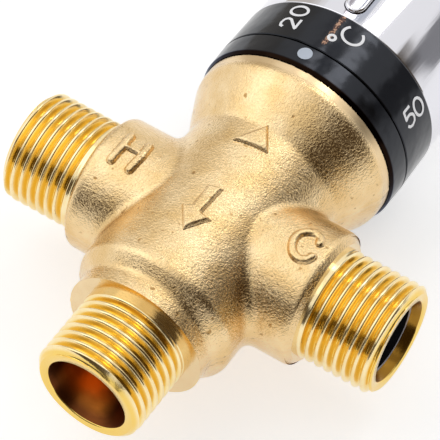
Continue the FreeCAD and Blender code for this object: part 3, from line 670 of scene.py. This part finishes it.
# the remeshed core drawn on to the field, with the marks and the flash line raised from it
def makeForging():
    f = forging
    piece = newPiece("valveForging", forgingCore(), forgedBrass)
    piece.data.materials.append(facedBrass)
    remesh = piece.modifiers.new("skin", "REMESH")
    remesh.mode = "VOXEL"
    remesh.voxel_size = f["voxel"] * mm
    remesh.adaptivity = 0.0
    applyModifiers(piece)

    bm = bmesh.new()
    bm.from_mesh(piece.data)
    bm.verts.ensure_lookup_table()
    refineMarks(bm)
    points = readPoints(bm)
    capped = points[:, 1] > headMm - f["capInset"]
    capped &= np.hypot(points[:, 0], points[:, 2]) < f["bellRadius"] - f["capInset"]
    for _ in range(f["passes"]):
        armEnds = np.abs(points[:, 0]) > shoulderMm + f["armInset"]
        keep = capped | armEnds | (points[:, 1] < trunkHeights[0] + f["footInset"])
        moved = points - fieldNormal(points) * forgingField(points)[:, None]
        points = np.where(keep[:, None], points, moved)
    seam = f["seam"] * np.exp(-(points[:, 2] / f["seamHalf"]) ** 2) * ~keep
    points += fieldNormal(points) * (markHeight(points) + seam)[:, None]
    for vert, point in zip(bm.verts, points):
        vert.co = Vector((point[0] * mm, point[1] * mm + crossing, point[2] * mm))
    bmesh.ops.triangulate(bm, faces=[face for face in bm.faces if len(face.verts) > 4])
    bm.to_mesh(piece.data)
    bm.free()
    print("forging skin", len(piece.data.polygons))
    return piece


# what is turned and drilled out of the forging, in millimetres; heights over the crossing
machining = {
    "boreRadius": 7.7, "chamberRadius": 12.6, "chamberFloor": -14.5, "floorTaper": 3, "bonnetSeat": 20.5,
    "bonnetRadius": 15.6, "stubWall": 1.3, "stubDepth": 3, "seatStep": 0.9,
    "outletClear": 30, "inletClear": 26, "past": 2, "overlap": 1, "segments": 128,
}


# closed cutters: the outlet with the cartridge's chamber, and the two inlets
def machiningCutters():
    m = machining
    low = -crossingMm                   # the outlet's face
    top = headMm + m["past"] + m["overlap"]
    bore = m["boreRadius"]
    socket = threadRadius / mm - m["stubWall"]
    socketEnd = m["chamberFloor"] - m["floorTaper"] - m["overlap"]
    main = lathe([
        (0, low - m["past"]), (m["outletClear"], low - m["past"]), (m["outletClear"], footMm),
        (socket, footMm), (socket, socketEnd), (bore, socketEnd), (bore, m["chamberFloor"] - m["floorTaper"]),
        (bore + m["floorTaper"], m["chamberFloor"]), (m["chamberRadius"], m["chamberFloor"]),
        (m["chamberRadius"], m["bonnetSeat"]), (m["bonnetRadius"], m["bonnetSeat"]), (m["bonnetRadius"], top),
        (0, top)], m["segments"])
    main.transform(Matrix.Translation((0, crossing, 0)))
    cutters = [main]
    start = m["chamberRadius"] - m["overlap"]
    end = inletReach / mm + m["past"]
    seat = bore - m["seatStep"]
    for side in (-1, 1):
        inlet = lathe([(0, start), (seat, start), (seat, shoulderMm - m["stubDepth"]),
                       (socket, shoulderMm - m["stubDepth"]), (socket, shoulderMm),
                       (m["inletClear"], shoulderMm),
                       (m["inletClear"], end), (0, end)], m["segments"])
        inlet.transform(inletPlace(side))
        cutters.append(inlet)
    return [newPiece(f"cutter{i}", bm, facedBrass) for i, bm in enumerate(cutters)]


body = makeForging()
cutAway(body, machiningCutters(), 38)
dress(body, "housing", "forged_brass", "valve_body")
print("forged body", len(body.data.polygons))


def setInputs(modifier, group, **values):
    for item in group.interface.items_tree:
        if item.item_type == "SOCKET" and item.in_out == "INPUT" and item.name in values:
            modifier[item.identifier] = values[item.name]


# Geometry Nodes group with a geometry input and output, number inputs by name, and a material
def newGroup(name, *numbers):
    group = bpy.data.node_groups.new(name, "GeometryNodeTree")
    group.interface.new_socket("Geometry", in_out="INPUT", socket_type="NodeSocketGeometry")
    group.interface.new_socket("Geometry", in_out="OUTPUT", socket_type="NodeSocketGeometry")
    for number in numbers:
        group.interface.new_socket(number, in_out="INPUT", socket_type="NodeSocketFloat")
    group.interface.new_socket("Material", in_out="INPUT", socket_type="NodeSocketMaterial")
    tree = Tree(group)
    source = group.nodes.new("NodeGroupInput")
    return group, tree, {out.name: Sock(tree, out) for out in source.outputs if out.name}


# the points moved to a new position, then real geometry, its material and the output
def closeGroup(tree, geometry, position, material):
    shaped = tree.add("GeometryNodeSetPosition", None, Geometry=geometry, Position=position)
    whole = tree.add("GeometryNodeRealizeInstances", None, shaped)
    dressed = tree.add("GeometryNodeSetMaterial", None, Geometry=whole, Material=material)
    tree.add("NodeGroupOutput", None, dressed)


# the piece shaped by a group whose inputs are set by name
def shapeWith(piece, group, **values):
    form = piece.modifiers.new(group.name, "NODES")
    form.node_group = group
    setInputs(form, group, **values)
    applyModifiers(piece)


# points past Start on the outer wall, none of them nearer the axis than Root, are drawn in to a thread
def makeThreadGroup():
    group, tree, given = newGroup("helicalThread", "Pitch", "Crest", "Root", "Plain", "Fade", "CrestFlat",
                                  "Start", "End", "Rim", "Slope")
    x, y, z = parts(tree, tree.add("GeometryNodeInputPosition"))
    radius = fromAxis(x, z)
    turns = (y - given["Start"]) / given["Pitch"] + x.math("ARCTAN2", z) / (2 * math.pi)
    tooth = 1 - (turns.math("FRACT") * 2 - 1).math("ABSOLUTE")
    height = between(tree, tooth, 0.0, 1 - given["CrestFlat"])
    begin = given["Start"] + given["Plain"]
    depth = (given["Crest"] - given["Root"]) * between(tree, y, begin, begin + given["Fade"])
    formed = given["Crest"] - depth * (1 - height)
    formed = formed.math("MINIMUM", given["Rim"] + (given["End"] - y) * given["Slope"])
    cutShare = y.math("GREATER_THAN", given["Start"])
    cutShare = cutShare * radius.math("GREATER_THAN", given["Root"] * thread["outerShare"])
    wanted = radius + (radius.math("MINIMUM", formed) - radius) * cutShare
    scale = wanted / radius.math("MAXIMUM", 1e-6)
    moved = tree.add("ShaderNodeCombineXYZ", None, x * scale, y, z * scale)
    closeGroup(tree, given["Geometry"], moved, given["Material"])
    return group


thread = {
    "pitch": 1.814, "rootRadius": 9.24, "plain": 0.5, "fade": 1.0, "crestFlat": 0.12, "rimRadius": 9.3,
    "rimSlope": 1.2, "rimEdge": 0.25, "backRadius": 9.05, "segments": 200, "ringsPerPitch": 18,
    "outletStep": 19.6, "outletBack": 20.2, "checkStep": 15.4, "checkBack": 17.2, "boreSlack": 0.02,
    "sharp": 50, "outerShare": 0.999,
}
threadGroup = makeThreadGroup()


# stub made along +Y with its end face at 0 and its bore dressed; step and back are depths from that face
def threadedStub(name, step, back, innerBore, place, boreMaterial):
    t = thread
    crest = threadRadius / mm
    long = threadLength / mm
    bore = machining["boreRadius"]
    rings = int(long / t["pitch"] * t["ringsPerPitch"])
    corners = [(innerBore, -back), (t["backRadius"], -back), (t["backRadius"], -long)]
    corners += [(crest, -long * (1 - k / rings)) for k in range(rings + 1)]
    corners += [(t["rimRadius"], 0.0), (bore + t["rimEdge"], 0.0), (bore, -t["rimEdge"]), (bore, -step)]
    if innerBore < bore:
        corners += [(innerBore, -step)]
    piece = newPiece(name, lathe(corners, t["segments"]), machinedBrass)
    shapeWith(piece, threadGroup, Pitch=t["pitch"] * mm, Crest=crest * mm, Root=t["rootRadius"] * mm,
              Plain=t["plain"] * mm, Fade=t["fade"] * mm, CrestFlat=t["crestFlat"], Start=-long * mm, End=0.0,
              Rim=t["rimRadius"] * mm, Slope=t["rimSlope"], Material=machinedBrass)
    piece.data.materials.append(boreMaterial)
    for face in piece.data.polygons:
        if math.hypot(face.center.x, face.center.z) < (bore + t["boreSlack"]) * mm:
            face.material_index = 1
    piece.data.transform(place)
    smooth(piece, t["sharp"])
    dress(piece, "housing", "forged_brass")


checkSeat = machining["boreRadius"] - machining["seatStep"]
threadedStub("outletThread", thread["outletStep"], thread["outletBack"], machining["boreRadius"],
             Matrix.Rotation(math.pi, 4, "Z"), boreBrass)
for name, side in (("coldThread", 1), ("hotThread", -1)):
    threadedStub(name, thread["checkStep"], thread["checkBack"], checkSeat, inletPlace(side, inletReach),
                 mouthBrass)
print("threads cut")


# rings, knob and button in millimetres: radii, and heights over the outlet's face
ringJoint = crossingMm + 32.05
indexRing = {
    "foot": crossingMm + 27.1, "head": ringJoint - 0.15, "radius": 20.25, "bore": 15.6, "footRadius": 19.75,
    "bevel": 0.5, "bevelStep": 0.1, "bevelRound": 0.3, "edge": 0.15, "segments": 256,
}
scaleRing = {
    "foot": ringJoint + 0.15, "head": crossingMm + 41.45, "radius": 20.25, "bore": 18.03, "edge": 0.15,
    "headEdge": 0.3, "headRound": 0.2, "headStep": 0.35, "segments": 256,
}
knob = {
    "radius": 19.9, "top": crossingMm + 71.5, "ledge": crossingMm + 41.45, "ledgeRound": 0.25, "wall": 4.2,
    "belly": 0.15, "bellyHeight": 14, "topStep": 0.2, "topRound": 3.0, "roof": 3.4, "skirtRadius": 18.0,
    "skirtFoot": crossingMm + 32.55, "wellRadius": 8.2, "wellRound": 0.3, "wellFloor": crossingMm + 56.6,
    "floorWall": 2, "screwRadius": 2.3, "hubRadius": 10.2, "hubRound": 0.4, "hubBore": 7.2,
    "hubFoot": crossingMm + 40.0, "segments": 320, "cornerSteps": 8, "sharp": 30,
}
button = {
    "width": 3.9, "length": 14.0, "foot": crossingMm + 42.9, "angle": 1.0, "low": 14.4, "proud": 0.75,
    "edge": 0.5, "gap": 0.16, "edgeSteps": 8, "faceShares": (0.45, 0.7, 0.9), "endSteps": 14,
    "slotProud": 3.0, "slotEdge": 0.2, "slotStart": 2,
}


def makeIndexRing():
    r = indexRing
    bm = lathe([(r["bore"], r["foot"]), (r["footRadius"], r["foot"]),
                (r["radius"] - r["bevelStep"], r["foot"] + r["bevel"], r["bevelRound"]),
                (r["radius"], r["head"] - r["edge"]), (r["radius"] - r["edge"], r["head"]),
                (r["bore"], r["head"])], r["segments"])
    dress(newPiece("indexRing", bm, ringPlastic), "housing", "ring_plastic", "index_ring")


def makeScaleRing():
    r = scaleRing
    bm = lathe([(r["bore"], r["foot"]), (r["radius"] - r["edge"], r["foot"]),
                (r["radius"], r["foot"] + r["edge"]),
                (r["radius"] - r["edge"], r["head"] - r["headEdge"], r["headRound"]),
                (r["radius"] - r["headStep"], r["head"]), (r["bore"], r["head"])], r["segments"])
    dress(newPiece("scaleRing", bm, ringPlastic), "knob_group", "ring_plastic", "scale_ring")


# points round a long rounded outline, as (across, along)
def stadium(width, length, inset, count):
    half = width / 2 - inset
    straight = (length - width) / 2
    points = []
    for end in (1, -1):
        for k in range(count + 1):
            angle = math.pi * k / count
            points.append((end * half * math.cos(angle), end * (straight + half * math.sin(angle))))
    return points


# rounded pad between a low radius and a face that follows the knob, its rim eased
def buttonSolid(name, grow, low, proud, edge):
    b = button
    crown = knob["radius"] + proud
    levels = [(0.0, None)]
    for step in range(b["edgeSteps"] + 1):
        angle = step * math.pi / 2 / b["edgeSteps"]
        levels.append((edge * (1 - math.cos(angle)), edge * (1 - math.sin(angle))))
    levels += [(share * b["width"] / 2, 0.0) for share in b["faceShares"]]
    bm = bmesh.new()
    rings = []
    for inset, drop in levels:
        ring = []
        for across, along in stadium(b["width"] + 2 * grow, b["length"] + 2 * grow, inset, b["endSteps"]):
            high = low if drop is None else math.sqrt(crown * crown - across * across) - drop
            ring.append(bm.verts.new((across * mm, (b["foot"] + b["length"] / 2 + along) * mm, high * mm)))
        rings.append(ring)
    joinRings(bm, rings)
    bm.faces.new(rings[0])
    bm.faces.new(rings[-1])
    bmesh.ops.recalc_face_normals(bm, faces=bm.faces)
    bm.transform(Matrix.Rotation(math.radians(b["angle"]), 4, "Y"))
    return newPiece(name, bm, knobChrome)


# hollow shell round a hub, with a well for the screw and a slot for the button
def makeKnob():
    k = knob
    cavity = k["radius"] - k["wall"]
    roof = k["top"] - k["roof"]
    underFloor = k["wellFloor"] - k["floorWall"]
    bm = lathe([
        (cavity, k["skirtFoot"]), (k["skirtRadius"], k["skirtFoot"]), (k["skirtRadius"], k["ledge"]),
        (k["radius"], k["ledge"], k["ledgeRound"]), (k["radius"] + k["belly"], k["ledge"] + k["bellyHeight"]),
        (k["radius"] - k["topStep"], k["top"], k["topRound"]), (k["wellRadius"], k["top"], k["wellRound"]),
        (k["wellRadius"], k["wellFloor"]), (k["screwRadius"], k["wellFloor"]), (k["screwRadius"], underFloor),
        (k["hubBore"], underFloor), (k["hubBore"], k["hubFoot"]),
        (k["hubRadius"], k["hubFoot"], k["hubRound"]), (k["hubRadius"], roof),
        (cavity, roof)], k["segments"], k["cornerSteps"])
    shell = newPiece("knobShell", bm, knobChrome)
    slot = buttonSolid("slot", button["gap"], k["hubRadius"] + button["slotStart"], button["slotProud"],
                       button["slotEdge"])
    cutAway(shell, [slot], k["sharp"])
    dress(shell, "knob_group", "knob_chrome", "knob")


def makeButton():
    pad = buttonSolid("lockButton", 0.0, button["low"], button["proud"], button["edge"])
    dress(pad, "button", "button_chrome", "safety_button")


makeIndexRing()
makeScaleRing()
makeKnob()
makeButton()
print("rings, knob and button made")


# points on an oval, as (across, up), at every step of degrees from first up to before last
def oval(across, up, wide, high, first, last, step):
    angles = [math.radians(degrees) for degrees in range(first, last, step)]
    return [(across + wide * math.cos(angle), up + high * math.sin(angle)) for angle in angles]


# print in millimetres: strokes as (across, up), and words as (glyph, angle, height over the crossing)
ringPrint = {
    "strokeHalf": 0.27, "thickness": 0.03, "proud": 0.005, "resample": 0.12, "roundness": 12,
    "words": [("2", -17.2, 34.4), ("0", -17.2, 37.7), ("5", 66.0, 34.6), ("0", 66.0, 37.6),
              ("ring", 2.5, 35.8), ("C", 15.2, 36.5)],
}
glyphs = {
    "2": [(0.1, 2.6), (0.35, 3.25), (1.1, 3.5), (1.95, 3.25), (2.3, 2.6), (2.1, 1.9), (1.3, 1.15), (0.1, 0.0),
          (2.5, 0.0)],
    "5": [(2.3, 3.5), (0.45, 3.5), (0.2, 1.85), (0.9, 2.2), (1.6, 2.2), (2.25, 1.75), (2.4, 1.1), (2.1, 0.4),
          (1.3, 0.0), (0.55, 0.15), (0.05, 0.7)],
    "0": oval(1.25, 1.75, 1.2, 1.75, 90, -271, -15),
    "C": oval(1.9, 1.75, 1.85, 1.95, 42, 320, 12),
    "ring": oval(0, 0, 0.62, 0.62, 0, 361, 20),
}


# strokes drawn flat, X round the ring and Y along it, become ribbons on a cylinder
def makeWrapGroup():
    group, tree, given = newGroup("wrappedPrint", "Radius", "Half", "Thickness")
    curve = tree.add("GeometryNodeMeshToCurve", None, given["Geometry"])
    fine = tree.add("GeometryNodeResampleCurve", {"mode": "LENGTH"}, Curve=curve,
                    Length=ringPrint["resample"] * mm)
    profile = tree.add("GeometryNodeCurvePrimitiveCircle", None, Resolution=ringPrint["roundness"],
                       Radius=given["Half"])
    tube = tree.add("GeometryNodeCurveToMesh", None, Curve=fine, Profile_Curve=profile, Fill_Caps=True)
    x, y, z = parts(tree, tree.add("GeometryNodeInputPosition"))
    high = given["Radius"] + z * given["Thickness"] / given["Half"]
    angle = x / given["Radius"]
    wrapped = tree.add("ShaderNodeCombineXYZ", None, high * angle.math("SINE"), y,
                       high * angle.math("COSINE"))
    closeGroup(tree, tube, wrapped, given["Material"])
    return group


# the foot of each glyph looks along +X, so the words read along the axis
def makePrint():
    p = ringPrint
    radius = scaleRing["radius"] + p["proud"]
    bm = bmesh.new()
    for glyph, angle, height in p["words"]:
        verts = []
        for across, up in glyphs[glyph]:
            verts.append(bm.verts.new(((math.radians(angle) * radius - up) * mm,
                                       crossing + (height + across) * mm, 0)))
        for a, b in zip(verts, verts[1:]):
            bm.edges.new((a, b))
    bmesh.ops.remove_doubles(bm, verts=bm.verts, dist=0.01 * mm)
    piece = newPiece("scalePrint", bm, printWhite)
    shapeWith(piece, makeWrapGroup(), Radius=radius * mm, Half=p["strokeHalf"] * mm,
              Thickness=p["thickness"] * mm, Material=printWhite)
    piece.data.shade_smooth()
    dress(piece, "knob_group", None)


# degrees round the ring, and millimetres with the height over the crossing
dot = {"angle": -3.1, "height": 30.06, "radius": 1.35, "crown": 0.03, "proud": 0.012, "segments": 40,
       "shares": (0.0, 0.5, 0.85, 1.0)}


# painted dot on the index ring, a little crowned
def makeDot():
    d = dot
    radius = indexRing["radius"] + d["proud"]
    bm = bmesh.new()
    rings = []
    for share in d["shares"]:
        ring = []
        for k in range(1 if share == 0 else d["segments"]):
            angle = 2 * math.pi * k / d["segments"]
            across = math.radians(d["angle"]) * radius + share * d["radius"] * math.cos(angle)
            along = d["height"] + share * d["radius"] * math.sin(angle)
            lift = radius + d["crown"] * (1 - share ** 4)
            ring.append(bm.verts.new(aboutAxis(lift, crossingMm + along, across / radius)))
        rings.append(ring)
    joinRings(bm, rings)
    bmesh.ops.recalc_face_normals(bm, faces=bm.faces)
    dress(newPiece("indexDot", bm, dotPaint), "housing", None)


makePrint()
makeDot()
print("print and dot laid on")


# camera in degrees and millimetres from the crossing
viewpoint = {
    "azimuth": 30.288, "elevation": 53.326, "roll": 3.258, "distance": 471.29, "asideRight": 1.328,
    "asideUp": 3.581, "lens": 222.05, "sensor": 36, "near": 10,
}


def makeCamera():
    v = viewpoint
    azimuth = math.radians(v["azimuth"])
    elevation = math.radians(v["elevation"])
    back = Vector((math.sin(azimuth) * math.cos(elevation), -math.cos(azimuth) * math.cos(elevation),
                   math.sin(elevation)))
    right = Vector((0, 0, 1)).cross(back).normalized()
    up = back.cross(right)
    turn = Matrix.Rotation(math.radians(v["roll"]), 4, back)
    right = turn @ right
    up = turn @ up
    out = back * v["distance"] + right * v["asideRight"] + up * v["asideUp"]
    place = Vector((0, crossing, 0)) + out * mm
    data = bpy.data.cameras.new("studioCamera")
    data.lens = v["lens"]
    data.sensor_width = v["sensor"]
    data.clip_start = v["near"] * mm
    camera = bpy.data.objects.new("studioCamera", data)
    camera.matrix_world = Matrix.Translation(place) @ Matrix((right, up, back)).transposed().to_4x4()
    bpy.context.scene.collection.objects.link(camera)
    bpy.context.scene.camera = camera


# (azimuth, elevation, distance, size, power): 0 looks along +Y and 90 along +X, in degrees, metres and watts
lamps = {
    "leftSoft": (-100, 52, 0.9, 0.8, 1.3),
    "backStrip": (16, 53, 0.9, 0.22, 0.5),
    "backSoft": (-21, 53, 0.9, 0.12, 0.13),
}

# (azimuth, elevation, width, height, tint, soft share of the edge), all in degrees
flags = {
    "sideFlag": (110, 27, 104, 66, colour(0.08, 0.06, 0.04), 0.16),
    "topFlag": (68, 56, 22, 26, colour(0.55, 0.52, 0.48), 0.3),
    "frontFlag": (-164, 14, 58, 46, colour(0.09, 0.07, 0.05), 0.25),
    "leftFlag": (-46, 10, 50, 60, colour(0.60, 0.56, 0.50), 0.6),
    "streakFlag": (46, 14, 24, 30, colour(0.26, 0.26, 0.27), 0.35),
    "darkStrip": (-27, 48, 5, 12, colour(0.45, 0.42, 0.44), 0.5),
    "paleStrip": (-8, 54, 9, 12, colour(0.55, 0.58, 0.64), 0.5),
}
# lengths in metres, and light that looks white at a strength of 1
studio = {"flagDistance": 0.8, "floorColour": colour(0.8, 0.8, 0.8), "floorGlow": 0.55, "floorHalf": 3.0,
          "floorDrop": 0.0002, "worldLight": 0.5, "worldSeen": 1.0}


# place and turn of something that looks at the crossing from a direction
def lookingIn(azimuth, elevation, distance):
    az = math.radians(azimuth)
    el = math.radians(elevation)
    out = Vector((math.sin(az) * math.cos(el), math.cos(az) * math.cos(el), math.sin(el))) * distance
    turn = out.to_track_quat("Z", "Y").to_matrix().to_4x4()
    return Matrix.Translation(Vector((0, crossing, 0)) + out) @ turn


def makeLamp(name, azimuth, elevation, distance, size, power):
    data = bpy.data.lights.new(name, "AREA")
    data.shape = "SQUARE"
    data.size = size
    data.energy = power
    lamp = bpy.data.objects.new(name, data)
    lamp.matrix_world = lookingIn(azimuth, elevation, distance)
    bpy.context.scene.collection.objects.link(lamp)


# flat sheet facing +Z, for the stage alone
def makeSheet(name, halfWidth, halfHeight, material):
    bm = bmesh.new()
    bmesh.ops.create_grid(bm, x_segments=1, y_segments=1, size=1.0)
    bm.transform(Matrix.Diagonal((halfWidth, halfHeight, 1, 1)))
    sheet = newPiece(name, bm, material)
    return sheet


# soft-edged flag that only reflections see: it dims what is behind it to the tint
def makeFlag(name, azimuth, elevation, width, height, tint, soft):
    material, tree = newMaterial(name)
    half = [studio["flagDistance"] * math.tan(math.radians(size) / 2) for size in (width, height)]
    cover = 1.0
    for part, extent in zip(parts(tree, objectCoordinates(tree)), half):
        cover = cover * between(tree, part.math("ABSOLUTE") / extent, 1.0, 1.0 - soft)
    clear = tree.add("ShaderNodeBsdfTransparent", None, colour(1, 1, 1))
    dim = tree.add("ShaderNodeBsdfTransparent", None, tint)
    mixed = tree.add("ShaderNodeMixShader", None, cover, clear, dim)
    tree.add("ShaderNodeOutputMaterial", None, Surface=mixed)
    flag = makeSheet(name, *half, material)
    flag.matrix_world = lookingIn(azimuth, elevation, studio["flagDistance"])
    flag.visible_camera = False
    flag.visible_diffuse = False
    flag.visible_shadow = False


# 1 where the camera, a reflection or a pane looks, 0 where light bounces
def seenShare(tree):
    seen = 0.0
    for ray in ("Is Camera Ray", "Is Glossy Ray", "Is Transmission Ray"):
        seen = seen + tree.add("ShaderNodeLightPath", out=ray)
    return seen.math("MINIMUM", 1.0)


# pale floor that keeps the shadow and glows a little where it is looked at
def makeFloor():
    material, tree = newMaterial("floorWhite")
    plain = tree.add("ShaderNodeBsdfDiffuse", None, Color=studio["floorColour"])
    glow = tree.add("ShaderNodeEmission", None, Color=colour(1, 1, 1), Strength=studio["floorGlow"])
    both = tree.add("ShaderNodeAddShader", None, plain, glow)
    mixed = tree.add("ShaderNodeMixShader", None, seenShare(tree), plain, both)
    tree.add("ShaderNodeOutputMaterial", None, Surface=mixed)
    floor = makeSheet("studioFloor", studio["floorHalf"], studio["floorHalf"], material)
    low = min(corner[2] for corner in cadBox)
    floor.data.transform(Matrix.Translation((0, crossing, low - studio["floorDrop"])))


def makeWorld():
    world = bpy.data.worlds.new("studio")
    world.use_nodes = True
    world.node_tree.nodes.clear()
    tree = Tree(world.node_tree)
    lit = tree.add("ShaderNodeBackground", None, Color=colour(1, 1, 1), Strength=studio["worldLight"])
    white = tree.add("ShaderNodeBackground", None, Color=colour(1, 1, 1), Strength=studio["worldSeen"])
    mixed = tree.add("ShaderNodeMixShader", None, seenShare(tree), lit, white)
    tree.add("ShaderNodeOutputWorld", None, Surface=mixed)
    bpy.context.scene.world = world


makeCamera()
makeFloor()
makeWorld()
for name, values in lamps.items():
    makeLamp(name, *values)
for name, values in flags.items():
    makeFlag(name, *values)
bpy.context.scene.view_settings.view_transform = "Standard"
print("studio ready")
